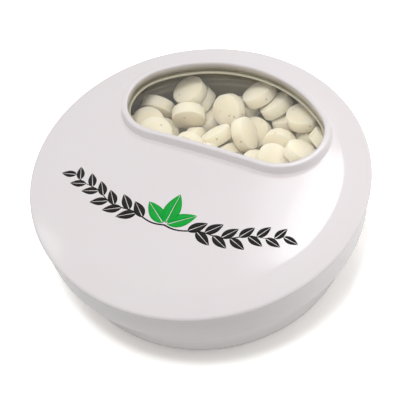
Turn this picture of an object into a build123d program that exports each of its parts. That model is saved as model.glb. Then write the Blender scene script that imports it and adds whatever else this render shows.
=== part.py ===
from build123d import *

import math
import os
import random

import numpy as np

# A round mint tin with a window in its lid: a drawn base with a slip-on domed lid, a clear pane
# and its retaining ring under the window, and the mints that fill the base.
# The origin is the middle of the underside, +Z is up and the window faces +Y.
# Lengths are millimetres and angles are degrees.

# The lid
lid_radius = 38.0  # at its widest, over the shoulder bead
shoulder_height = 23.6  # middle of the bead above the table
bead_radius = 0.7
bead_overhang = 1.2  # how far the bead stands out from the skirt
margin_width = 6.1  # sloping margin between the domed panel and the bead
margin_inner_angle = 10.0
margin_outer_angle = 16.0
dome_radius = 304.0  # sphere radius of the panel's outside
skirt_depth = 9.35  # from the middle of the bead to the skirt's edge
sheet = 0.3  # tinplate with its lacquer
hem_depth = 1.2  # folded edge of the skirt
hem_run_out = 0.3
skirt_bend = 0.3  # outside bend where the skirt leaves the bead
lid_corner_bend = 0.8  # inside bend under the bead

# The window: half a disc with round ends, measured along the crest of its collar
window_inset = 1.4  # from the edge of the domed panel in to the crest
window_flat = 4.05  # straight side's distance from the middle of the lid
window_corner_share = 0.4  # corner radius, of the depth from the flat side to the round one
collar_height = 2.15
collar_half_width = 0.7
collar_foot_width = 1.05  # from the crest out to the foot on the domed panel
collar_draft_angle = 8.0
crest_round = 0.6
collar_foot_bend = 0.3
foot_match = 0.03  # an edge this near the domed panel's outside lies on it

# Under the window
pane_thickness = 0.6
ring_thickness = 1.2
ring_reach = 1.2  # from the crest in to the ring's inner edge
flange_width = 1.35  # from the crest out to the edge of the pane and the ring
glue_gap = 0.02

# The base
slip_clearance = 0.15  # between the base's neck and the skirt's hem
rest_gap = 0.05  # between the base's rolled mouth and the lid that rests on it
step_in = 1.45  # from the neck in to the wall below it
step_hidden = 0.9  # how far up inside the skirt the step lies
step_rise = 0.45
step_bend = 0.8
wall_taper = 9.0
base_corner = 5.0
foot_ring_width = 3.4
panel_rise = 0.8
panel_run = 0.8
panel_bend = 0.5
curl_radius = 0.5

# The mints
mint_radius = 3.95
mint_band = 2.6  # height of the straight side
mint_crown = 0.7  # height of each crowned face over the side
mint_sides = 9
mint_count = 300  # poured in, of which those that end up too high are left out
mint_gap = 0.2
headroom = 1.1  # kept free between the heap and the lowest part of the ring's underside
pour_number = 11  # picks one of the heaps that the same mints could make

os.makedirs("parts", exist_ok=True)


def tangent(slope):
    return math.tan(math.radians(slope))


def sine(slope):
    return math.sin(math.radians(slope))


def cosine(slope):
    return math.cos(math.radians(slope))


# The lid's outside, from the bead inwards and up to the middle
bead_middle = lid_radius - bead_radius
margin_foot = (
    bead_middle + bead_radius * sine(margin_outer_angle),
    shoulder_height + bead_radius * cosine(margin_outer_angle),
)
dome_edge = lid_radius - margin_width
margin_angle = (margin_inner_angle + margin_outer_angle) / 2
dome_edge_height = margin_foot[1] + (margin_foot[0] - dome_edge) * tangent(margin_angle)
margin_curve = (margin_foot[0] - dome_edge) / cosine(margin_angle)
margin_curve /= 2 * sine((margin_outer_angle - margin_inner_angle) / 2)
margin_middle = (
    margin_foot[0] - margin_curve * sine(margin_outer_angle),
    margin_foot[1] - margin_curve * cosine(margin_outer_angle),
)
dome_middle = dome_edge_height - math.sqrt(dome_radius**2 - dome_edge**2)
dome_top = dome_middle + dome_radius


def dome_point(reach, above=0):
    """A point at a distance from the lid's axis, so far above or below the domed panel's outside."""
    return (reach, dome_middle + math.sqrt((dome_radius + above) ** 2 - reach**2))


def dome_arc(above=0):
    """Three points of that arc, from the lid's axis out to the edge of the domed panel."""
    return dome_point(0, above), dome_point(dome_edge / 2, above), dome_point(dome_edge, above)


def margin_point(reach, below=0):
    """The same on the sloping margin."""
    height = math.sqrt((margin_curve - below) ** 2 - (reach - margin_middle[0]) ** 2)
    return (reach, margin_middle[1] + height)


skirt_radius = lid_radius - bead_overhang
skirt_inside = skirt_radius - sheet
hem_inside = skirt_radius - 2 * sheet
skirt_edge = shoulder_height - skirt_depth
bead_bottom = (bead_middle, shoulder_height - bead_radius)
half_margin = (dome_edge + skirt_inside) / 2

window_radius = dome_edge - window_inset
window_corner = (window_radius - window_flat) * window_corner_share


def window_outline(grow, height):
    """The window's outline at a height, grown outwards from the crest or, below zero, drawn in."""
    outer = window_radius + grow
    with BuildSketch(Plane.XY.offset(height)) as outline:
        Circle(outer)
        with Locations((0, window_flat - grow)):
            Rectangle(2 * outer, outer, align=(Align.CENTER, Align.MIN), mode=Mode.INTERSECT)
        fillet(outline.vertices(), window_corner + grow)
    return outline.sketch


def dome_layer(lower, upper):
    """Half the section of a layer along the domed panel, between two distances from its outside."""
    with BuildSketch(Plane.XZ) as layer:
        with BuildLine():
            ThreePointArc(*dome_arc(upper))
            Line(dome_point(dome_edge, upper), dome_point(dome_edge, lower))
            ThreePointArc(*dome_arc(lower))
            Line(dome_point(0, lower), dome_point(0, upper))
        make_face()
    return layer.sketch


# The window's collar, with its outline drawn at the lowest place where it meets the lid
collar_start = dome_point(dome_edge, -sheet)[1]
collar_reach = dome_top + 2 * collar_height - collar_start
opening_outline = window_outline(-collar_half_width, collar_start)
foot_outline = window_outline(collar_foot_width, collar_start)
collar_layer = dome_layer(-sheet, collar_height)

with BuildPart() as collar:
    extrude(foot_outline, amount=collar_reach, taper=collar_draft_angle)
    extrude(opening_outline, amount=collar_reach, mode=Mode.SUBTRACT)
    revolve(collar_layer, axis=Axis.Z, mode=Mode.INTERSECT)
    crest = collar.faces().filter_by(GeomType.SPHERE).sort_by(Axis.Z)[-1]
    fillet(crest.edges(), crest_round)


def at_collar_foot(edge):
    """Whether an edge of the lid lies where the collar rises from the domed panel."""
    middle = edge @ 0.5
    reach = math.hypot(middle.X, middle.Y)
    if reach > dome_edge - sheet:
        return False
    return abs(middle.Z - dome_point(reach)[1]) < foot_match


with BuildPart() as lid:
    with BuildSketch(Plane.XZ) as lid_section:
        with BuildLine():
            ThreePointArc(*dome_arc())
            ThreePointArc(dome_point(dome_edge), margin_point(half_margin), margin_foot)
            ThreePointArc(margin_foot, (lid_radius, shoulder_height), bead_bottom)
            Polyline(bead_bottom, (skirt_radius, bead_bottom[1]), (skirt_radius, skirt_edge + sheet))
            ThreePointArc(
                (skirt_radius, skirt_edge + sheet),
                (skirt_inside, skirt_edge),
                (hem_inside, skirt_edge + sheet),
            )
            Polyline(
                (hem_inside, skirt_edge + sheet),
                (hem_inside, skirt_edge + hem_depth),
                (skirt_inside, skirt_edge + hem_depth + hem_run_out),
                margin_point(skirt_inside, sheet),
            )
            ThreePointArc(
                margin_point(skirt_inside, sheet),
                margin_point(half_margin, sheet),
                dome_point(dome_edge, -sheet),
            )
            ThreePointArc(*dome_arc(-sheet))
            Line(dome_point(0, -sheet), dome_point(0))
        make_face()
        under_bead = lid_section.vertices().sort_by_distance((skirt_radius, bead_bottom[1]))[0]
        fillet(under_bead, skirt_bend)
        inner_corner = lid_section.vertices().sort_by_distance(margin_point(skirt_inside, sheet))[0]
        fillet(inner_corner, lid_corner_bend)
    revolve(axis=Axis.Z)
    extrude(opening_outline, amount=collar_reach, both=True, mode=Mode.SUBTRACT)
    add(collar.part)
    fillet(lid.edges().filter_by(at_collar_foot), collar_foot_bend)
lid.part.label = "lid"
export_step(lid.part, "parts/lid.step")

# The clear pane lies against the underside of the lid, and the ring holds it there
pane_top = -sheet - glue_gap
pane_bottom = pane_top - pane_thickness
ring_top = pane_bottom - glue_gap
ring_bottom = ring_top - ring_thickness
flange_start = dome_point(dome_edge, ring_bottom)[1]
flange_outline = window_outline(flange_width, flange_start)
ring_opening = window_outline(-ring_reach, flange_start)
pane_layer = dome_layer(pane_bottom, pane_top)
ring_layer = dome_layer(ring_bottom, ring_top)

with BuildPart() as window_pane:
    extrude(flange_outline, amount=collar_reach)
    revolve(pane_layer, axis=Axis.Z, mode=Mode.INTERSECT)
window_pane.part.label = "window_pane"
export_step(window_pane.part, "parts/window_pane.step")

with BuildPart() as window_ring:
    extrude(flange_outline, amount=collar_reach)
    extrude(ring_opening, amount=collar_reach, mode=Mode.SUBTRACT)
    revolve(ring_layer, axis=Axis.Z, mode=Mode.INTERSECT)
window_ring.part.label = "window_ring"
export_step(window_ring.part, "parts/window_ring.step")

# The base: one drawn sheet from the raised bottom panel to the neck, with its mouth rolled inwards
neck_radius = hem_inside - slip_clearance
wall_top = neck_radius - step_in
step_height = skirt_edge + step_hidden
corner_point = wall_top - step_height * tangent(wall_taper)
corner_run = base_corner * tangent((90 - wall_taper) / 2)
foot_outside = corner_point - corner_run
foot_inside = foot_outside - foot_ring_width
curl_middle = neck_radius - curl_radius
mouth_height = margin_point(curl_middle, sheet)[1] - (curl_radius + rest_gap) / cosine(margin_outer_angle)

with BuildPart() as base:
    with BuildSketch(Plane.XZ) as base_section:
        with BuildLine() as base_line:
            FilletPolyline(
                (0, panel_rise),
                (foot_inside - panel_run, panel_rise),
                (foot_inside, 0),
                (corner_point, 0),
                (wall_top, step_height),
                (neck_radius, step_height + step_rise),
                (neck_radius, mouth_height),
                radius=[panel_bend, panel_bend, base_corner, step_bend, step_bend],
            )
            offset(amount=sheet, side=Side.LEFT)
        make_face()
        with Locations((curl_middle, mouth_height)):
            Circle(curl_radius)
    revolve(axis=Axis.Z)
base.part.label = "base"
export_step(base.part, "parts/base.step")

# The mints: a pressed tablet with a straight side and two crowned faces
with BuildPart() as mint:
    with BuildSketch(Plane.XY.offset(mint_band / 2)) as mint_face:
        RegularPolygon(mint_radius, mint_sides)
    extrude(amount=-mint_band)
    loft([mint_face.sketch.face(), Vertex(0, 0, mint_band / 2 + mint_crown)])
    mirror(about=Plane.XY)

# The heap is worked out as shares of the mint's radius, rounded so that a larger tin has the same heap
share_digits = 6
rim_points = 36
first_step_share = 0.6
last_step_share = 0.02
step_loss_share = 0.6
turn_share = 0.9
try_count = 10  # moves tried before the next step is made smaller
start_height_share = 2  # above the heap's highest place
back_share = 0.75  # of the mints meant for the front, those poured under the window instead
start_inset_share = 2  # from the wall


def share(length):
    return round(length / mint_radius, share_digits)


half_band_share = share(mint_band / 2)
crown_share = share(mint_crown)
gap_share = share(mint_gap)
wall_share = share(wall_top - sheet / cosine(wall_taper))
step_height_share = share(step_height)
corner_share = share(base_corner)
inner_corner_share = share(base_corner - sheet)
corner_middle_share = share(foot_outside)
floor_share = share(panel_rise + sheet)
ceiling_share = share(flange_start - headroom)
near_share = 2 * math.hypot(1, half_band_share) + gap_share
rim_angles = np.linspace(0, 2 * np.pi, rim_points, endpoint=False)


def mint_surface(middle, axis):
    """Points on both rims of a mint and at the tops of its crowns."""
    side = np.cross(axis, [1, 0, 0] if abs(axis[0]) < abs(axis[2]) else [0, 0, 1])
    side /= np.linalg.norm(side)
    around = np.outer(np.cos(rim_angles), side) + np.outer(np.sin(rim_angles), np.cross(axis, side))
    rise = half_band_share * axis
    crown = (half_band_share + crown_share) * axis
    return middle + np.vstack([around + rise, around - rise, crown, -crown])


def in_mint(points, middle, axis):
    """Whether any of the points is inside a mint, or nearer to it than the gap."""
    arm = points - middle
    along = np.abs((arm * axis).sum(axis=-1))
    out = np.sqrt(np.maximum((arm**2).sum(axis=-1) - along**2, 0))
    top = half_band_share + crown_share * np.maximum(1 - out, 0) + gap_share
    return bool(((out < 1 + gap_share) & (along < top)).any())


def in_base(points):
    """Whether all the points are inside the base, clear of its floor and walls."""
    out = np.hypot(points[:, 0], points[:, 1])
    height = points[:, 2]
    if height.min() < floor_share + gap_share:
        return False
    wall = wall_share - np.maximum(step_height_share - height, 0) * tangent(wall_taper)
    below = np.clip(corner_share - height, 0, inner_corner_share)
    corner = corner_middle_share + np.sqrt(inner_corner_share**2 - below**2)
    return bool((out < np.where(below > 0, np.minimum(corner, wall), wall) - gap_share).all())


def pour_mints():
    """Drops the mints one by one and lets each slide and turn down to rest on the ones before."""
    chance = random.Random(pour_number)
    middles, axes, surfaces = [], [], []

    def fits(middle, axis, points):
        if not in_base(points):
            return False
        if not middles:
            return True
        near = np.linalg.norm(np.array(middles) - middle, axis=1) < near_share
        if not near.any():
            return True
        near_middles = np.array(middles)[near][:, None, :]
        near_axes = np.array(axes)[near][:, None, :]
        if in_mint(points[None, :, :], near_middles, near_axes):
            return False
        return not in_mint(np.array(surfaces)[near], middle, axis)

    def direction():
        return np.array([chance.gauss(0, 1) for _ in range(3)])

    for _ in range(mint_count):
        turn = chance.uniform(0, 2 * math.pi)
        if turn > math.pi and chance.random() < back_share:
            turn = -turn
        out = math.sqrt(chance.random()) * (wall_share - start_inset_share)
        axis = direction()
        axis /= np.linalg.norm(axis)
        start_height = ceiling_share + start_height_share
        middle = np.array([out * math.cos(turn), out * math.sin(turn), start_height])
        points = mint_surface(middle, axis)
        step, misses = first_step_share, 0
        while step > last_step_share:
            shift = step * direction() if misses else np.zeros(3)
            shift[2] = -step * (chance.random() if misses else 1)
            new_axis = axis + turn_share * step * direction() if misses else axis
            new_axis = new_axis / np.linalg.norm(new_axis)
            new_middle = middle + shift
            new_points = mint_surface(new_middle, new_axis)
            if fits(new_middle, new_axis, new_points):
                middle, axis, points, misses = new_middle, new_axis, new_points, 0
            else:
                misses += 1
            if misses > try_count:
                step, misses = step * step_loss_share, 0
        if points[:, 2].max() > ceiling_share:
            continue
        middles.append(middle)
        axes.append(axis)
        surfaces.append(points)
    return sorted(zip(middles, axes), key=lambda place: place[0][2])


places = [
    Location(Plane(origin=tuple(middle * mint_radius), z_dir=tuple(axis))) for middle, axis in pour_mints()
]
layers = ["mints_bottom", "mints_middle", "mints_top"]
layer_count = math.ceil(len(places) / len(layers))
for number, name in enumerate(layers):
    layer = places[number * layer_count : (number + 1) * layer_count]
    mints = Compound(label=name, children=[mint.part.moved(place) for place in layer])
    export_step(mints, f"parts/{name}.step")
    print(name, len(layer), "mints, the highest at", round(layer[-1].position.Z, 1))
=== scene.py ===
import math
import random

import bmesh
import bpy
from mathutils import Matrix, Vector, noise


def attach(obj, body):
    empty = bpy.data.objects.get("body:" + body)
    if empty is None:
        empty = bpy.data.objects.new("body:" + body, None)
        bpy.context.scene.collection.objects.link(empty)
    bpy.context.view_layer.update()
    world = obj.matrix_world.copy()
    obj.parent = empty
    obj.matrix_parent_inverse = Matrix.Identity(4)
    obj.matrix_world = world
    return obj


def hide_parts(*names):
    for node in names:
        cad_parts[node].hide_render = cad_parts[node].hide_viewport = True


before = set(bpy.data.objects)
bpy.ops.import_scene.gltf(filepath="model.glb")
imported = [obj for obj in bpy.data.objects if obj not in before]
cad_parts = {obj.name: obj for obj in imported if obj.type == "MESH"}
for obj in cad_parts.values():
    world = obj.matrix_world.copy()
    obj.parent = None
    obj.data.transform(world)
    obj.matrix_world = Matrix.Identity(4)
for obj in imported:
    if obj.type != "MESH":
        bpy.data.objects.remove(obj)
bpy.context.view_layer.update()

scene = bpy.context.scene
scene.view_settings.view_transform = "Standard"

# The camera looks down on the tin from a little over half way up, close enough for the far rim to
# shrink, and it is held tilted, so that the lid runs uphill to the right.
shoulder_height = 0.0236
camera_azimuth = math.radians(32.75)
camera_elevation = math.radians(51.07)
camera_distance = 0.304
camera_roll = math.radians(-10.41)
camera_lens = 123.56
film_width = 36
nearest_seen = 0.01
aim_right = -0.00077
aim_up = -0.00545

camera_back = Vector((
    math.sin(camera_azimuth) * math.cos(camera_elevation),
    -math.cos(camera_azimuth) * math.cos(camera_elevation),
    math.sin(camera_elevation),
))
camera_right = Vector((math.cos(camera_azimuth), math.sin(camera_azimuth), 0))
camera_up = camera_back.cross(camera_right)
lid_middle = Vector((0, 0, shoulder_height))
camera = bpy.data.objects.new("camera", bpy.data.cameras.new("camera"))
camera.data.sensor_width = film_width
camera.data.lens = camera_lens
camera.data.clip_start = nearest_seen
camera.location = lid_middle + camera_distance * camera_back
look = lid_middle + aim_right * camera_right + aim_up * camera_up - camera.location
camera.rotation_mode = "QUATERNION"
level = look.to_track_quat("-Z", "Y")
camera.rotation_quaternion = level @ Matrix.Rotation(camera_roll, 3, "Z").to_quaternion()
scene.collection.objects.link(camera)
scene.camera = camera

# The studio: a white sweep with the tin's shadow on it, one soft light overhead, low ones at the
# right, left and front for the skirt, two strips side by side that are mirrored on the right of
# the lid, the wider one weaker for a soft edge, and a small one behind on the left for the bead.
floor_size = 0.8
floor_drop = 0.00002
floor_colour = (0.6, 0.6, 0.595, 1)
floor_mirrored_colour = (0.95, 0.95, 0.945, 1)
floor_seen_colour = (1.62, 1.606, 1.574, 1)
floor_lift = 0.03
room_light = 0.47
room_light_inside = 1.22
lamp_distance = 1

studio_floor = bmesh.new()
bmesh.ops.create_grid(studio_floor, x_segments=1, y_segments=1, size=floor_size / 2)
bmesh.ops.translate(studio_floor, verts=studio_floor.verts, vec=(0, 0, -floor_drop))
floor_mesh = bpy.data.meshes.new("floor")
studio_floor.to_mesh(floor_mesh)
studio_floor.free()
floor = bpy.data.objects.new("floor", floor_mesh)
scene.collection.objects.link(floor)


def either(nodes, links, first, second):
    """One where either of two ray tests is one."""
    larger = nodes.new("ShaderNodeMath")
    larger.operation = "MAXIMUM"
    links.new(first, larger.inputs[0])
    links.new(second, larger.inputs[1])
    return larger.outputs[0]


sweep = bpy.data.materials.new("white_sweep")
sweep.use_nodes = True
nodes, links = sweep.node_tree.nodes, sweep.node_tree.links
nodes.clear()
rays = nodes.new("ShaderNodeLightPath")
seen = either(nodes, links, rays.outputs["Is Camera Ray"], rays.outputs["Is Transmission Ray"])
mirrored_paper = nodes.new("ShaderNodeMix")
mirrored_paper.data_type = "RGBA"
mirrored_paper.inputs["A"].default_value = floor_colour
mirrored_paper.inputs["B"].default_value = floor_mirrored_colour
links.new(rays.outputs["Is Glossy Ray"], mirrored_paper.inputs["Factor"])
seen_paper = nodes.new("ShaderNodeMix")
seen_paper.data_type = "RGBA"
seen_paper.inputs["B"].default_value = floor_seen_colour
links.new(mirrored_paper.outputs["Result"], seen_paper.inputs["A"])
links.new(seen, seen_paper.inputs["Factor"])
paper = nodes.new("ShaderNodeBsdfDiffuse")
links.new(seen_paper.outputs["Result"], paper.inputs["Color"])
lift = nodes.new("ShaderNodeEmission")
lift_strength = nodes.new("ShaderNodeMath")
lift_strength.operation = "MULTIPLY"
lift_strength.inputs[1].default_value = floor_lift
links.new(seen, lift_strength.inputs[0])
links.new(lift_strength.outputs[0], lift.inputs["Strength"])
both = nodes.new("ShaderNodeAddShader")
links.new(paper.outputs[0], both.inputs[0])
links.new(lift.outputs[0], both.inputs[1])
links.new(both.outputs[0], nodes.new("ShaderNodeOutputMaterial").inputs["Surface"])
floor_mesh.materials.append(sweep)

room = bpy.data.worlds.new("studio")
scene.world = room
room.use_nodes = True
nodes, links = room.node_tree.nodes, room.node_tree.links
nodes.clear()
rays = nodes.new("ShaderNodeLightPath")

# Light that comes in through the pane counts for more, which lifts the mints out of the lid's shade.
behind_pane = nodes.new("ShaderNodeMath")
behind_pane.operation = "GREATER_THAN"
behind_pane.inputs[1].default_value = 0.5
links.new(rays.outputs["Transparent Depth"], behind_pane.inputs[0])
ambient = nodes.new("ShaderNodeMapRange")
ambient.inputs["To Min"].default_value = room_light
ambient.inputs["To Max"].default_value = room_light_inside
links.new(behind_pane.outputs[0], ambient.inputs["Value"])
dim = nodes.new("ShaderNodeBackground")
links.new(ambient.outputs["Result"], dim.inputs["Strength"])
white = nodes.new("ShaderNodeBackground")
white.inputs["Color"].default_value = (1, 1, 1, 1)
white.inputs["Strength"].default_value = 1
choice = nodes.new("ShaderNodeMixShader")
seen = either(nodes, links, rays.outputs["Is Camera Ray"], rays.outputs["Is Transmission Ray"])
links.new(either(nodes, links, seen, rays.outputs["Is Glossy Ray"]), choice.inputs["Fac"])
links.new(dim.outputs[0], choice.inputs[1])
links.new(white.outputs[0], choice.inputs[2])
links.new(choice.outputs[0], nodes.new("ShaderNodeOutputWorld").inputs["Surface"])


def hang_lamp(name, bearing, height, width, length, watts, mirrored=False):
    """A soft box round the lid: its bearing from +X to +Y and its height over the table in degrees."""
    turn, rise = math.radians(bearing), math.radians(height)
    away = Vector((math.cos(turn) * math.cos(rise), math.sin(turn) * math.cos(rise), math.sin(rise)))
    lamp = bpy.data.lights.new(name, "AREA")
    lamp.shape = "RECTANGLE"
    lamp.size, lamp.size_y = width, length
    lamp.energy = watts
    hung = bpy.data.objects.new(name, lamp)
    hung.location = lid_middle + lamp_distance * away
    hung.rotation_mode = "QUATERNION"
    hung.rotation_quaternion = away.to_track_quat("Z", "Y")
    hung.visible_glossy = mirrored
    hung.visible_camera = False
    scene.collection.objects.link(hung)


hang_lamp("overhead_light", bearing=-78, height=80, width=0.22, length=0.22, watts=4.15)
hang_lamp("strip_light", bearing=94, height=57.5, width=0.16, length=0.33, watts=0.75, mirrored=True)
hang_lamp("strip_edge_light", bearing=99, height=57.5, width=0.22, length=0.35, watts=0.4, mirrored=True)
hang_lamp("right_light", bearing=38, height=3, width=0.5, length=0.12, watts=3.5)
hang_lamp("left_light", bearing=180, height=12, width=0.5, length=0.2, watts=0.15)
hang_lamp("front_light", bearing=-62, height=8, width=0.5, length=0.2, watts=0.38)
hang_lamp("rim_light", bearing=172, height=45, width=0.12, length=0.2, watts=0.12, mirrored=True)

# The base: one drawn sheet of tinplate with a raised bottom panel, a foot ring, a rounded corner
# and a tapered wall. Above the wall it steps out to the neck, whose mouth is rolled inwards.
sheet = 0.0003
panel_rise = 0.0008
foot_inside = 0.02453
foot_slope = 0.0008
foot_round = 0.0005
base_corner = 0.005
wall_taper = math.radians(9)
wall_top = 0.0346
step_height = 0.01515
step_rise = 0.00045
step_round = 0.0008
neck_radius = 0.03605
mouth_height = 0.0239
curl_radius = 0.0005
curl_turn = 300
curl_steps = 18
round_steps = 256
bend_step = 9
fewest_bend_steps = 3
weld = 1e-7
# The base's white is the lid's lacquer painted lighter: painted light that makes up for the shade the
# base stands in below the lid's skirt.
base_lifted_white = (0.89, 0.845, 0.84, 1)
base_lifted_second_white = (0.91, 0.87, 0.86, 1)
# The inside's tinplate colours are darker than bare tinplate: partly the sheet's own warm tint, partly
# painted shade of the tin's dim inside.
tin_shade_colour = (0.3, 0.265, 0.165, 1)
second_tin_shade_colour = (0.38, 0.34, 0.22, 1)


def bend(middle, radius, start, end, steps):
    """Points (reach, height) along a bend, between two angles in degrees."""
    turns = [math.radians(start + (end - start) * i / steps) for i in range(steps + 1)]
    return [(middle[0] + radius * math.cos(t), middle[1] + radius * math.sin(t)) for t in turns]


def rounded(corners):
    """A path (reach, height) through corners that are each rounded by their radius."""
    path = [corners[0][:2]]
    for before, corner, after in zip(corners, corners[1:], corners[2:]):
        point, radius = Vector(corner[:2]), corner[2]
        back = (Vector(before[:2]) - point).normalized()
        on = (Vector(after[:2]) - point).normalized()
        half = back.angle(on) / 2
        run = radius / math.tan(half)
        middle = point + (back + on).normalized() * radius / math.sin(half)
        first, last = point + back * run - middle, point + on * run - middle
        sweep_angle = math.pi - 2 * half
        steps = max(fewest_bend_steps, round(math.degrees(sweep_angle) / bend_step))
        side = 1 if first.x * last.y - first.y * last.x > 0 else -1
        for i in range(steps + 1):
            turned = Matrix.Rotation(side * sweep_angle * i / steps, 2) @ first
            path.append(tuple(middle + turned))
    return path + [corners[-1][:2]]


def spin_profile(shape, path, steps):
    """Turns a path (reach, height) all the way round the tin's axis."""
    points = [shape.verts.new((reach, 0, height)) for reach, height in path]
    edges = [shape.edges.new(pair) for pair in zip(points, points[1:])]
    bmesh.ops.spin(
        shape, geom=points + edges, cent=(0, 0, 0), axis=(0, 0, 1), angle=2 * math.pi,
        steps=steps, use_merge=True,
    )
    bmesh.ops.remove_doubles(shape, verts=shape.verts, dist=weld)


def finish_piece(shape, name, materials, body, replaced, crisp=None):
    """Makes an object of a mesh, smooth but for its crisp edges, in the place of its CAD nodes."""
    mesh = bpy.data.meshes.new(name)
    shape.to_mesh(mesh)
    shape.free()
    for material in materials:
        mesh.materials.append(material)
    mesh.shade_smooth()
    if crisp is not None:
        mesh.set_sharp_from_angle(angle=crisp)
    piece = bpy.data.objects.new(name, mesh)
    scene.collection.objects.link(piece)
    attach(piece, body)
    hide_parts(*replaced)


corner_reach = wall_top - step_height * math.tan(wall_taper)
outside = rounded([
    (0, panel_rise),
    (foot_inside - foot_slope, panel_rise, foot_round),
    (foot_inside, 0, foot_round),
    (corner_reach, 0, base_corner),
    (wall_top, step_height, step_round),
    (neck_radius, step_height + step_rise, step_round),
    (neck_radius, mouth_height),
])
outside += bend((neck_radius - curl_radius, mouth_height), curl_radius, 0, curl_turn, curl_steps)[1:]
drawn_base = bmesh.new()
spin_profile(drawn_base, outside, round_steps)
bmesh.ops.recalc_face_normals(drawn_base, faces=drawn_base.faces)
lower = min(drawn_base.faces, key=lambda face: face.calc_center_median().z)
if lower.normal.z > 0:
    bmesh.ops.reverse_faces(drawn_base, faces=drawn_base.faces)
outer_faces = set(drawn_base.faces)
bmesh.ops.solidify(drawn_base, geom=list(drawn_base.faces), thickness=sheet)
for face in drawn_base.faces:
    face.material_index = 0 if face in outer_faces else 1


def drifting_colour(nodes, links, place, scale, detail, colour, second_colour):
    """A colour that drifts to a second one and back over the surface, and the noise that moves it."""
    drift = nodes.new("ShaderNodeTexNoise")
    drift.inputs["Scale"].default_value = scale
    drift.inputs["Detail"].default_value = detail
    links.new(place.outputs["Object"], drift.inputs["Vector"])
    tint = nodes.new("ShaderNodeMix")
    tint.data_type = "RGBA"
    tint.inputs["A"].default_value = colour
    tint.inputs["B"].default_value = second_colour
    links.new(drift.outputs["Fac"], tint.inputs["Factor"])
    return tint.outputs["Result"], drift.outputs["Fac"]


def lacquer(name, colour, second_colour):
    """Glossy white lacquer on tinplate: hardly mottled, with the faint ripple of rolled sheet."""
    made = bpy.data.materials.new(name)
    made.use_nodes = True
    nodes, links = made.node_tree.nodes, made.node_tree.links
    shader = nodes["Principled BSDF"]
    shader.inputs["Roughness"].default_value = 0.42
    shader.inputs["Coat Weight"].default_value = 1
    shader.inputs["Coat Roughness"].default_value = 0.12
    place = nodes.new("ShaderNodeTexCoord")
    tint = drifting_colour(nodes, links, place, 55, 3, colour, second_colour)[0]
    links.new(tint, shader.inputs["Base Color"])
    ripple = nodes.new("ShaderNodeTexNoise")
    ripple.inputs["Scale"].default_value = 700
    ripple.inputs["Detail"].default_value = 2
    links.new(place.outputs["Object"], ripple.inputs["Vector"])
    peel = nodes.new("ShaderNodeBump")
    peel.inputs["Strength"].default_value = 0.06
    peel.inputs["Distance"].default_value = 0.0001
    links.new(ripple.outputs["Fac"], peel.inputs["Height"])
    links.new(peel.outputs["Normal"], shader.inputs["Normal"])
    return made


# Painted light: the base's lacquer is lighter than the lid's, for the shade it stands in.
lifted_base_lacquer = lacquer("lifted_base_lacquer", base_lifted_white, base_lifted_second_white)

# Tinplate inside the tin, painted dark: its own warm tint and painted shade of the dim inside.
bare_shaded_tinplate = bpy.data.materials.new("bare_shaded_tinplate")
bare_shaded_tinplate.use_nodes = True
nodes, links = bare_shaded_tinplate.node_tree.nodes, bare_shaded_tinplate.node_tree.links
shader = nodes["Principled BSDF"]
shader.inputs["Metallic"].default_value = 0.6
place = nodes.new("ShaderNodeTexCoord")
tin_shade_tint, spangle = drifting_colour(nodes, links, place, 260, 4, tin_shade_colour, second_tin_shade_colour)
links.new(tin_shade_tint, shader.inputs["Base Color"])
dullness = nodes.new("ShaderNodeMapRange")
dullness.inputs["To Min"].default_value = 0.5
dullness.inputs["To Max"].default_value = 0.65
links.new(spangle, dullness.inputs["Value"])
links.new(dullness.outputs["Result"], shader.inputs["Roughness"])

finish_piece(drawn_base, "tin_base", [lifted_base_lacquer, bare_shaded_tinplate], "base", ["base"])

# The lid: one pressed sheet of lacquered tinplate. The domed panel breaks into a steeper margin, a
# bead runs round the shoulder, the skirt ends in a folded hem, and the window has a raised collar.
bead_middle = 0.0373
bead_radius = 0.0007
margin_inner_slope = math.radians(10)
margin_outer_slope = math.radians(16)
dome_edge = 0.0319
dome_radius = 0.304
panel_break = 0.00012
margin_start = 0.0004
margin_steps = 6
bead_steps = 16
skirt_radius = 0.0368
crease_depth = 0.00015
crease_bend = 0.0003
crease_foot = 0.0012
skirt_drops = (0.0017, 0.003)
skirt_edge = 0.01425
hem_rises = (0.002, 0.0005)
hem_lap = 0.0012
hem_lap_end = 0.0015
shoulder_round = 0.0008
under_break = 0.0002
under_margin_steps = 3
window_radius = 0.0305
window_flat = 0.00405
window_corner_share = 0.4
window_middle = 0.0165
collar_height = 0.00215
collar_half_width = 0.0007
collar_foot = 0.00105
collar_draft = math.tan(math.radians(8))
crest_round = 0.0004
crest_seam = 0.0001
crest_steps = 7
foot_bend = 0.00018
foot_steps = 6
outline_points = 480
panel_steps = 22
panel_crowding = 1.3
under_steps = 10
lid_crisp = math.radians(40)
lid_white = (0.79, 0.73, 0.75, 1)
lid_second_white = (0.8, 0.765, 0.765, 1)
# Painted shade at the foot of the collar's inner wall.
collar_shade_colour = (0.22, 0.2, 0.14, 1)

window_corner = (window_radius - window_flat) * window_corner_share
margin_reach = bead_middle + bead_radius * math.sin(margin_outer_slope)
margin_height = shoulder_height + bead_radius * math.cos(margin_outer_slope)
margin_slope = (margin_inner_slope + margin_outer_slope) / 2
dome_edge_height = margin_height + (margin_reach - dome_edge) * math.tan(margin_slope)
margin_curve = (margin_reach - dome_edge) / math.cos(margin_slope)
margin_curve /= 2 * math.sin((margin_outer_slope - margin_inner_slope) / 2)
margin_middle = (
    margin_reach - margin_curve * math.sin(margin_outer_slope),
    margin_height - margin_curve * math.cos(margin_outer_slope),
)
dome_middle = dome_edge_height - math.sqrt(dome_radius**2 - dome_edge**2)


def lid_height(reach, below=0):
    """Height of the lid's panel or margin, or of a layer so far below it."""
    if reach <= dome_edge:
        return dome_middle + math.sqrt((dome_radius - below) ** 2 - reach**2)
    return margin_middle[1] + math.sqrt((margin_curve - below) ** 2 - (reach - margin_middle[0]) ** 2)


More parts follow.
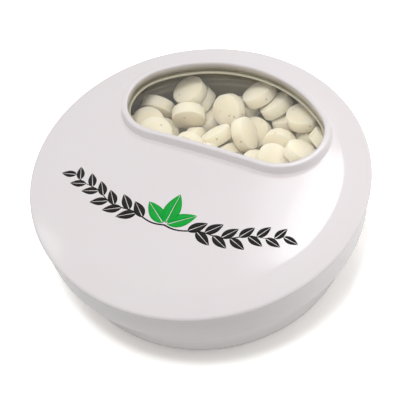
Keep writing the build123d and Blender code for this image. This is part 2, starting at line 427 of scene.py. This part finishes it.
def window_crest(count):
    """Places evenly along the window's crest, anticlockwise, each with its outward direction."""
    corner_height = window_flat + window_corner
    corner_reach = math.sqrt((window_radius - window_corner) ** 2 - corner_height**2)
    turn = math.atan2(corner_height, corner_reach)
    flat_length = 2 * corner_reach
    corner_length = window_corner * (turn + math.pi / 2)
    back_length = window_radius * (math.pi - 2 * turn)
    crest = []
    for i in range(count):
        along = (flat_length + 2 * corner_length + back_length) * i / count
        if along < flat_length:
            crest.append((Vector((along - corner_reach, window_flat)), Vector((0, -1))))
            continue
        along -= flat_length
        if along < corner_length:
            middle, radius = Vector((corner_reach, corner_height)), window_corner
            angle = along / window_corner - math.pi / 2
        elif along < corner_length + back_length:
            middle, radius = Vector((0, 0)), window_radius
            angle = turn + (along - corner_length) / window_radius
        else:
            middle, radius = Vector((-corner_reach, corner_height)), window_corner
            angle = math.pi - turn + (along - corner_length - back_length) / window_corner
        out = Vector((math.cos(angle), math.sin(angle)))
        crest.append((middle + radius * out, out))
    return crest


def on_lid(place, rise=0, below=0):
    """A place seen from above, put on the lid, over it, or on a layer below it."""
    return Vector((place.x, place.y, lid_height(place.length, below) + rise))


def collar_section(place, out):
    """From the lower edge of the opening up its wall, over the crest and down to the panel."""
    lean = lid_height((place + collar_half_width * out).length) - lid_height(dome_edge, sheet)
    shoulder = collar_height - crest_round
    draft = math.degrees(math.atan(collar_draft))

    def wall(rise):
        return collar_foot - (lean + rise) * collar_draft

    outer = (wall(shoulder) - crest_round / math.cos(math.radians(draft)), shoulder)
    foot = (wall(foot_bend) + foot_bend / math.cos(math.radians(draft)), foot_bend)
    section = [(-collar_half_width, shoulder - crest_seam)]
    section += bend((crest_round - collar_half_width, shoulder), crest_round, 180, 90, crest_steps)
    section += bend(outer, crest_round, 90, draft, crest_steps)
    section += bend(foot, foot_bend, 180 + draft, 270, foot_steps)
    edge = on_lid(place - collar_half_width * out, below=sheet)
    return [edge] + [on_lid(place + grow * out, rise) for grow, rise in section]


def rim_section():
    """Points (reach, height) from the outside of the panel over the bead, down the skirt and back up."""
    margin_first = dome_edge + margin_start
    margin_width = margin_reach - margin_first
    steps = [dome_edge + panel_break]
    steps += [margin_first + margin_width * i / margin_steps for i in range(margin_steps + 1)]
    section = [(reach, lid_height(reach)) for reach in steps]
    bead_start = 90 - math.degrees(margin_outer_slope)
    section += bend((bead_middle, shoulder_height), bead_radius, bead_start, -90, bead_steps)[1:]
    drawn_in = skirt_radius - crease_depth
    crease_top = shoulder_height - bead_radius - crease_bend
    section += bend((drawn_in + crease_bend, crease_top), crease_bend, 90, 180, 5)
    section.append((drawn_in, shoulder_height - crease_foot))
    section += [(skirt_radius, shoulder_height - drop) for drop in skirt_drops]
    section += [(skirt_radius, skirt_edge + rise) for rise in hem_rises]
    section += bend((skirt_radius - sheet, skirt_edge + sheet), sheet, 0, -180, 8)
    section.append((skirt_radius - 2 * sheet, skirt_edge + hem_lap))
    section.append((skirt_radius - sheet, skirt_edge + hem_lap_end))
    turn_in = skirt_radius - sheet - shoulder_round
    turn_height = lid_height(turn_in, sheet + shoulder_round)
    meeting = math.degrees(math.atan2(turn_height - margin_middle[1], turn_in - margin_middle[0]))
    section += bend((turn_in, turn_height), shoulder_round, 0, meeting, 5)
    for i in range(1, under_margin_steps + 1):
        last_reach = section[-1][0]
        reach = last_reach + (dome_edge + under_break - last_reach) * i / under_margin_steps
        section.append((reach, lid_height(reach, sheet)))
    return section


def next_ring(shape, ring, places):
    """Extrudes a closed ring and sets each of its new points in its place."""
    edges = [shape.edges.get(pair) for pair in zip(ring, ring[1:] + ring[:1])]
    made = set(bmesh.ops.extrude_edge_only(shape, edges=edges)["geom"])
    grown = []
    for old, place in zip(ring, places):
        point = next(e.other_vert(old) for e in old.link_edges if e.other_vert(old) in made)
        point.co = place
        grown.append(point)
    return grown


def first_ring(shape, places):
    """A closed ring through the places."""
    ring = bmesh.ops.create_circle(shape, segments=len(places), radius=window_radius)["verts"]
    for point, place in zip(ring, places):
        point.co = place
    return ring


crest_line = window_crest(outline_points)
rim = rim_section()
panel_shares = [(i / panel_steps) ** panel_crowding for i in range(1, panel_steps + 1)]
under_shares = [i / under_steps for i in range(under_steps + 1)]
sections = []
for place, out in crest_line:
    ray = (place - Vector((0, window_middle))).normalized()
    ahead = ray.y * window_middle
    reach = dome_edge - panel_break
    end = ray * (math.sqrt(ahead**2 - window_middle**2 + reach**2) - ahead) + Vector((0, window_middle))
    turn = end.normalized()
    section = collar_section(place, out)
    foot = section[-1].to_2d()
    section += [on_lid(foot.lerp(end, share)) for share in panel_shares]
    section += [Vector((turn.x * reach, turn.y * reach, height)) for reach, height in rim]
    opening = section[0].to_2d()
    section += [on_lid(end.lerp(opening, share), below=sheet) for share in under_shares]
    sections.append(section)

pressed_lid = bmesh.new()
rings = list(zip(*sections))
ring = next_ring(pressed_lid, first_ring(pressed_lid, rings[0]), rings[1])
inner_wall = set(pressed_lid.faces)
for places in rings[2:]:
    ring = next_ring(pressed_lid, ring, places)
for face in pressed_lid.faces:
    face.material_index = 1 if face in inner_wall else 0
bmesh.ops.remove_doubles(pressed_lid, verts=pressed_lid.verts, dist=weld)
bmesh.ops.recalc_face_normals(pressed_lid, faces=pressed_lid.faces)

lid_lacquer = lacquer("lid_lacquer", lid_white, lid_second_white)

# Inside the collar the lacquer is painted darker towards the pane. This is painted shade, with a painted
# reflection of the tin's dark inside, at the foot of the collar's inner wall.
collar_shade_lacquer = lacquer("collar_shade_lacquer", lid_white, lid_second_white)
nodes, links = collar_shade_lacquer.node_tree.nodes, collar_shade_lacquer.node_tree.links
shader = nodes["Principled BSDF"]
place = nodes.new("ShaderNodeTexCoord")
reach = nodes.new("ShaderNodeVectorMath")
reach.operation = "DISTANCE"
reach.inputs[1].default_value = (0, 0, dome_middle)
links.new(place.outputs["Object"], reach.inputs[0])
unshaded_share = nodes.new("ShaderNodeMapRange")
unshaded_share.inputs["From Min"].default_value = dome_radius
unshaded_share.inputs["From Max"].default_value = dome_radius + collar_height - crest_round
links.new(reach.outputs["Value"], unshaded_share.inputs["Value"])
collar_shaded = nodes.new("ShaderNodeMix")
collar_shaded.data_type = "RGBA"
collar_shaded.inputs["A"].default_value = collar_shade_colour
links.new(unshaded_share.outputs["Result"], collar_shaded.inputs["Factor"])
links.new(shader.inputs["Base Color"].links[0].from_socket, collar_shaded.inputs["B"])
links.new(collar_shaded.outputs["Result"], shader.inputs["Base Color"])
finish_piece(
    pressed_lid, "pressed_lid", [lid_lacquer, collar_shade_lacquer], "lid", ["lid"], lid_crisp
)

# The print on the lid: a garland of small dark leaves on a waving stem, with a green sprig in its
# middle. It is dull ink laid on the lacquer, as thin as a coat of paint.
garland_radius = 0.051
garland_middle = Vector((0, 0.034))
garland_turn = math.radians(30)
stem_half_width = 0.0002
stem_wave = 0.0004
stem_waves = 5
stem_steps = 120
stem_taper_share = 0.7
leaf_length = 0.005
leaf_half_width = 0.00125
leaf_tilt = math.radians(38)
leaf_pairs = 6
leaf_lag = 0.5
leaf_shrink_share = 0.3
leaf_belly = 0.8
leaf_fullness = 0.85
first_leaf_share = 0.2
last_leaf_share = 0.97
sprig_length = 0.0078
sprig_half_width = 0.0019
sprig_tilt = math.radians(52)
sprig_gap = 0.0006
side_leaf_share = 0.86
vein_half_width = 0.00009
vein_taper_share = 0.6
vein_swell_share = 0.5
leaf_steps = 16
ink_height = 0.000012
ink_depth = 0.000016
ink_thin_share = 1.1
dark_ink = (0.006, 0.004, 0.0045, 1)
green_ink = (0.002, 0.36, 0.038, 1)


def garland_place(share):
    """A place on the stem and the direction in which it grows, from its middle at zero to its ends."""
    turn = share * garland_turn
    wave = stem_wave * math.sin(abs(share) * stem_waves * math.pi)
    out = Vector((math.sin(turn), -math.cos(turn)))
    grows = Vector((math.cos(turn), math.sin(turn))) * (1 if share >= 0 else -1)
    return garland_middle + (garland_radius + wave) * out, grows


def ink_strip(shape, sides):
    """A strip of ink on the lid between two edges, given as pairs of places."""
    pairs = [[shape.verts.new(on_lid(place, ink_height)) for place in pair] for pair in sides]
    for (a, b), (c, d) in zip(pairs, pairs[1:]):
        face = shape.faces.new((a, c, d, b))
        face.normal_update()
        if face.normal.z < 0:
            face.normal_flip()


def ink_leaf(shape, root, grows, length, half_width):
    """A pointed leaf in two halves, with its midrib left bare between them."""
    across = Vector((-grows.y, grows.x))
    for side in (1, -1):
        edges = []
        for i in range(leaf_steps + 1):
            share = i / leaf_steps
            swell = math.sin(math.pi * share**leaf_belly) ** leaf_fullness * half_width
            bare = min(swell * vein_swell_share, vein_half_width * (1 - vein_taper_share * share))
            spine = root + length * share * grows
            edges.append((spine + side * bare * across, spine + side * max(swell, bare) * across))
        ink_strip(shape, edges)


def print_piece(shape, name, colour):
    """Gives ink its thickness and its colour, a little duller than the lid."""
    bmesh.ops.remove_doubles(shape, verts=shape.verts, dist=weld)
    bmesh.ops.dissolve_degenerate(shape, edges=shape.edges, dist=weld)
    bmesh.ops.recalc_face_normals(shape, faces=shape.faces)
    bmesh.ops.solidify(shape, geom=list(shape.faces), thickness=ink_depth)
    ink = bpy.data.materials.new(name)
    ink.use_nodes = True
    nodes, links = ink.node_tree.nodes, ink.node_tree.links
    shader = nodes["Principled BSDF"]
    shader.inputs["Roughness"].default_value = 0.42
    shader.inputs["Specular IOR Level"].default_value = 0.2
    place = nodes.new("ShaderNodeTexCoord")
    thin_colour = [ink_thin_share * part for part in colour[:3]] + [1]
    tint = drifting_colour(nodes, links, place, 900, 2, colour, thin_colour)[0]
    links.new(tint, shader.inputs["Base Color"])
    finish_piece(shape, name, [ink], "lid", [])


def turned(direction, angle):
    """A direction seen from above, turned anticlockwise."""
    return Matrix.Rotation(angle, 2) @ direction


garland = bmesh.new()
stem = []
for i in range(stem_steps + 1):
    share = 2 * i / stem_steps - 1
    place, grows = garland_place(share)
    across = Vector((-grows.y, grows.x)) * (1 if share >= 0 else -1)
    half = stem_half_width * (1 - stem_taper_share * abs(share))
    stem.append((place - half * across, place + half * across))
ink_strip(garland, stem)
for side in (1, -1):
    for i in range(leaf_pairs):
        for tilt, lag in ((leaf_tilt, 0), (-leaf_tilt, leaf_lag)):
            along_stem = (i + lag) / (leaf_pairs - 1 + leaf_lag)
            share = first_leaf_share + (last_leaf_share - first_leaf_share) * along_stem
            root, grows = garland_place(side * share)
            size = 1 - leaf_shrink_share * share
            along = turned(grows, side * tilt)
            ink_leaf(garland, root, along, size * leaf_length, size * leaf_half_width)
print_piece(garland, "dark_garland", dark_ink)

sprig = bmesh.new()
root = garland_place(0)[0]
for tilt, size in ((0, 1), (sprig_tilt, side_leaf_share), (-sprig_tilt, side_leaf_share)):
    grows = turned(Vector((0, 1)), tilt)
    ink_leaf(sprig, root + sprig_gap * grows, grows, size * sprig_length, size * sprig_half_width)
print_piece(sprig, "green_sprig", green_ink)

# The window: a clear moulded pane as curved as the lid, laid against the lid's underside. It is
# wider than the opening all round.
pane_flange = 0.00135
pane_top = 0.00032
pane_bottom = 0.00092
pane_shares = [0.9, 0.75, 0.6, 0.45, 0.3, 0.15]
pane_middle = Vector((0, window_middle))
pane_crisp = math.radians(40)
clear_colour = (0.985, 0.985, 0.975, 1)
haze_colour = (0.85, 0.84, 0.78, 1)

clear_pane = bmesh.new()
pane_edge = [place + pane_flange * out for place, out in crest_line]
upper = first_ring(clear_pane, [on_lid(place, below=pane_top) for place in pane_edge])
lower = next_ring(clear_pane, upper, [on_lid(place, below=pane_bottom) for place in pane_edge])
for ring, below in ((upper, pane_top), (lower, pane_bottom)):
    for share in pane_shares:
        shrunk = [pane_middle.lerp(place, share) for place in pane_edge]
        ring = next_ring(clear_pane, ring, [on_lid(place, below=below) for place in shrunk])
    bmesh.ops.pointmerge(clear_pane, verts=ring, merge_co=on_lid(pane_middle, below=below))
bmesh.ops.recalc_face_normals(clear_pane, faces=clear_pane.faces)

clear_plastic = bpy.data.materials.new("clear_plastic")
clear_plastic.use_nodes = True
nodes, links = clear_plastic.node_tree.nodes, clear_plastic.node_tree.links
nodes.clear()
through = nodes.new("ShaderNodeBsdfTransparent")
through.inputs["Color"].default_value = clear_colour
gloss = nodes.new("ShaderNodeBsdfGlossy")
gloss.inputs["Roughness"].default_value = 0.06
haze = nodes.new("ShaderNodeBsdfDiffuse")
haze.inputs["Color"].default_value = haze_colour
side = nodes.new("ShaderNodeNewGeometry")
front = nodes.new("ShaderNodeMath")
front.operation = "SUBTRACT"
front.inputs[0].default_value = 1
links.new(side.outputs["Backfacing"], front.inputs[1])
mirror_share = nodes.new("ShaderNodeFresnel")
mirror_share.inputs["IOR"].default_value = 1.49
mirrored = nodes.new("ShaderNodeMath")
mirrored.operation = "MULTIPLY"
links.new(mirror_share.outputs[0], mirrored.inputs[0])
links.new(front.outputs[0], mirrored.inputs[1])
place = nodes.new("ShaderNodeTexCoord")
film = nodes.new("ShaderNodeTexNoise")
film.inputs["Scale"].default_value = 90
links.new(place.outputs["Object"], film.inputs["Vector"])
film_share = nodes.new("ShaderNodeMapRange")
film_share.inputs["To Min"].default_value = 0.01
film_share.inputs["To Max"].default_value = 0.035
links.new(film.outputs["Fac"], film_share.inputs["Value"])
hazed = nodes.new("ShaderNodeMixShader")
links.new(film_share.outputs["Result"], hazed.inputs["Fac"])
links.new(through.outputs[0], hazed.inputs[1])
links.new(haze.outputs[0], hazed.inputs[2])
polished = nodes.new("ShaderNodeMixShader")
links.new(mirrored.outputs[0], polished.inputs["Fac"])
links.new(hazed.outputs[0], polished.inputs[1])
links.new(gloss.outputs[0], polished.inputs[2])
links.new(polished.outputs[0], nodes.new("ShaderNodeOutputMaterial").inputs["Surface"])
finish_piece(
    clear_pane, "clear_pane", [clear_plastic], "lid", ["window_pane"], pane_crisp
)

# The ring that holds the pane: a cream moulding under its rim, whose inner edge shows through the pane
# as a pale line round the opening.
# Its cream is painted darker than the plastic's own, as painted shade under the collar.
ring_top = 0.00094
ring_bottom = 0.00214
ring_reach = 0.00105
ring_edge = 0.00012
ring_lip = 0.0003
ring_taper = 0.0008
ring_crisp = math.radians(30)
# Cream painted darker: painted shade under the collar.
cream_and_shade_colour = (0.5, 0.47, 0.37, 1)
second_cream_and_shade_colour = (0.55, 0.52, 0.42, 1)
ring_profile = [
    (pane_flange, ring_top),
    (ring_edge - ring_reach, ring_top),
    (-ring_reach, ring_top + ring_edge),
    (-ring_reach, ring_top + ring_lip),
    (ring_taper - ring_reach, ring_bottom),
    (pane_flange - ring_edge, ring_bottom),
    (pane_flange, ring_bottom - ring_edge),
    (pane_flange, ring_top),
]

retaining_ring = bmesh.new()
rings = []
for grow, below in ring_profile:
    rings.append([on_lid(place + grow * out, below=below) for place, out in crest_line])
ring = first_ring(retaining_ring, rings[0])
for places in rings[1:]:
    ring = next_ring(retaining_ring, ring, places)
bmesh.ops.remove_doubles(retaining_ring, verts=retaining_ring.verts, dist=weld)
bmesh.ops.recalc_face_normals(retaining_ring, faces=retaining_ring.faces)

shaded_cream_plastic = bpy.data.materials.new("shaded_cream_plastic")
shaded_cream_plastic.use_nodes = True
nodes, links = shaded_cream_plastic.node_tree.nodes, shaded_cream_plastic.node_tree.links
shader = nodes["Principled BSDF"]
shader.inputs["Roughness"].default_value = 0.35
place = nodes.new("ShaderNodeTexCoord")
cream = drifting_colour(nodes, links, place, 150, 2, cream_and_shade_colour, second_cream_and_shade_colour)[0]
links.new(cream, shader.inputs["Base Color"])
finish_piece(
    retaining_ring, "retaining_ring", [shaded_cream_plastic], "lid", ["window_ring"], ring_crisp
)

# The mints: small tablets pressed from sugar, straight round the side and crowned on both faces,
# lying as they were poured. Each of the three lots takes the places of its solids.
mint_radius = 0.00395
mint_half_band = 0.0013
mint_crown = 0.0007
mint_edge = 0.00014
crown_margin = 0.0001
crown_steps = 6
mint_steps = 40
mint_crisp = math.radians(35)
mint_wear = 0.00006
wear_scale = 420
solid_weld = 1e-6
sugar_colour = (0.865, 0.783, 0.585, 1)
second_sugar_colour = (0.88, 0.828, 0.735, 1)
fleck_colour = (0.3, 0.2, 0.12, 1)

crown_radius = (mint_radius**2 + mint_crown**2) / (2 * mint_crown)
mint_side = []
for i in range(crown_steps + 1):
    reach = (mint_radius - crown_margin) * i / crown_steps
    drop = crown_radius - math.sqrt(crown_radius**2 - reach**2)
    mint_side.append((reach, mint_half_band + mint_crown - drop))
mint_side.append((mint_radius, mint_half_band - mint_edge))
mint_side += [(reach, -height) for reach, height in reversed(mint_side)]
tablet = bmesh.new()
spin_profile(tablet, mint_side, mint_steps)
bmesh.ops.recalc_face_normals(tablet, faces=tablet.faces)
tablet_mesh = bpy.data.meshes.new("tablet")
tablet.to_mesh(tablet_mesh)
tablet.free()


def mint_places(node):
    """Middle and upward axis of each mint solid, from the two peaks that stand over its middle."""
    solids = bmesh.new()
    solids.from_mesh(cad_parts[node].data)
    bmesh.ops.remove_doubles(solids, verts=solids.verts, dist=solid_weld)
    left, places = set(solids.verts), []
    while left:
        start = next(point for point in solids.verts if point in left)
        left.discard(start)
        found, waiting = [start], [start]
        while waiting:
            for edge in waiting.pop().link_edges:
                for point in edge.verts:
                    if point in left:
                        left.discard(point)
                        found.append(point)
                        waiting.append(point)
        middle = sum((point.co for point in found), Vector()) / len(found)
        peaks = sorted(found, key=lambda point: (point.co - middle).length)[:2]
        axis = (peaks[0].co - peaks[1].co).normalized()
        places.append((middle, axis if axis.z > 0 else -axis))
    solids.free()
    return sorted(places, key=lambda place: tuple(place[0]))


pressed_sugar = bpy.data.materials.new("pressed_sugar")
pressed_sugar.use_nodes = True
nodes, links = pressed_sugar.node_tree.nodes, pressed_sugar.node_tree.links
shader = nodes["Principled BSDF"]
shader.inputs["Roughness"].default_value = 0.62
shader.inputs["Specular IOR Level"].default_value = 0.2
shader.inputs["Diffuse Roughness"].default_value = 1
shader.inputs["Sheen Weight"].default_value = 0.25
shader.inputs["Sheen Roughness"].default_value = 0.6
shader.inputs["Sheen Tint"].default_value = (1, 0.94, 0.84, 1)
shader.inputs["Subsurface Weight"].default_value = 0.6
shader.inputs["Subsurface Radius"].default_value = (1, 0.88, 0.66)
shader.inputs["Subsurface Scale"].default_value = 0.003
place = nodes.new("ShaderNodeTexCoord")
sugar = drifting_colour(nodes, links, place, 160, 2, sugar_colour, second_sugar_colour)[0]
fleck = nodes.new("ShaderNodeTexVoronoi")
fleck.inputs["Scale"].default_value = 420
links.new(place.outputs["Object"], fleck.inputs["Vector"])
fleck_share = nodes.new("ShaderNodeMapRange")
fleck_share.inputs["From Min"].default_value = 0.05
fleck_share.inputs["From Max"].default_value = 0.15
fleck_share.inputs["To Min"].default_value = 0.6
fleck_share.inputs["To Max"].default_value = 0
links.new(fleck.outputs["Distance"], fleck_share.inputs["Value"])
flecked = nodes.new("ShaderNodeMix")
flecked.data_type = "RGBA"
flecked.inputs["B"].default_value = fleck_colour
links.new(fleck_share.outputs["Result"], flecked.inputs["Factor"])
links.new(sugar, flecked.inputs["A"])
links.new(flecked.outputs["Result"], shader.inputs["Base Color"])
grain = nodes.new("ShaderNodeTexNoise")
grain.inputs["Scale"].default_value = 2600
grain.inputs["Detail"].default_value = 3
links.new(place.outputs["Object"], grain.inputs["Vector"])
pitted = nodes.new("ShaderNodeBump")
pitted.inputs["Strength"].default_value = 0.35
pitted.inputs["Distance"].default_value = 0.00008
links.new(grain.outputs["Fac"], pitted.inputs["Height"])
links.new(pitted.outputs["Normal"], shader.inputs["Normal"])

chance = random.Random(5)
noise.seed_set(5)
for lot in ("mints_bottom", "mints_middle", "mints_top"):
    heap = bmesh.new()
    for middle, axis in mint_places(lot):
        known = len(heap.verts)
        heap.from_mesh(tablet_mesh)
        heap.verts.ensure_lookup_table()
        turn = axis.to_track_quat("Z", "Y").to_matrix().to_4x4()
        turn = turn @ Matrix.Rotation(chance.uniform(0, 2 * math.pi), 4, "Z")
        own = heap.verts[known:]
        bmesh.ops.transform(heap, matrix=Matrix.Translation(middle) @ turn, verts=own)
        for point in own:
            point.co += mint_wear * noise.noise_vector(point.co * wear_scale)
    name = lot.replace("mints", "poured")
    finish_piece(heap, name, [pressed_sugar], "base", [lot], mint_crisp)
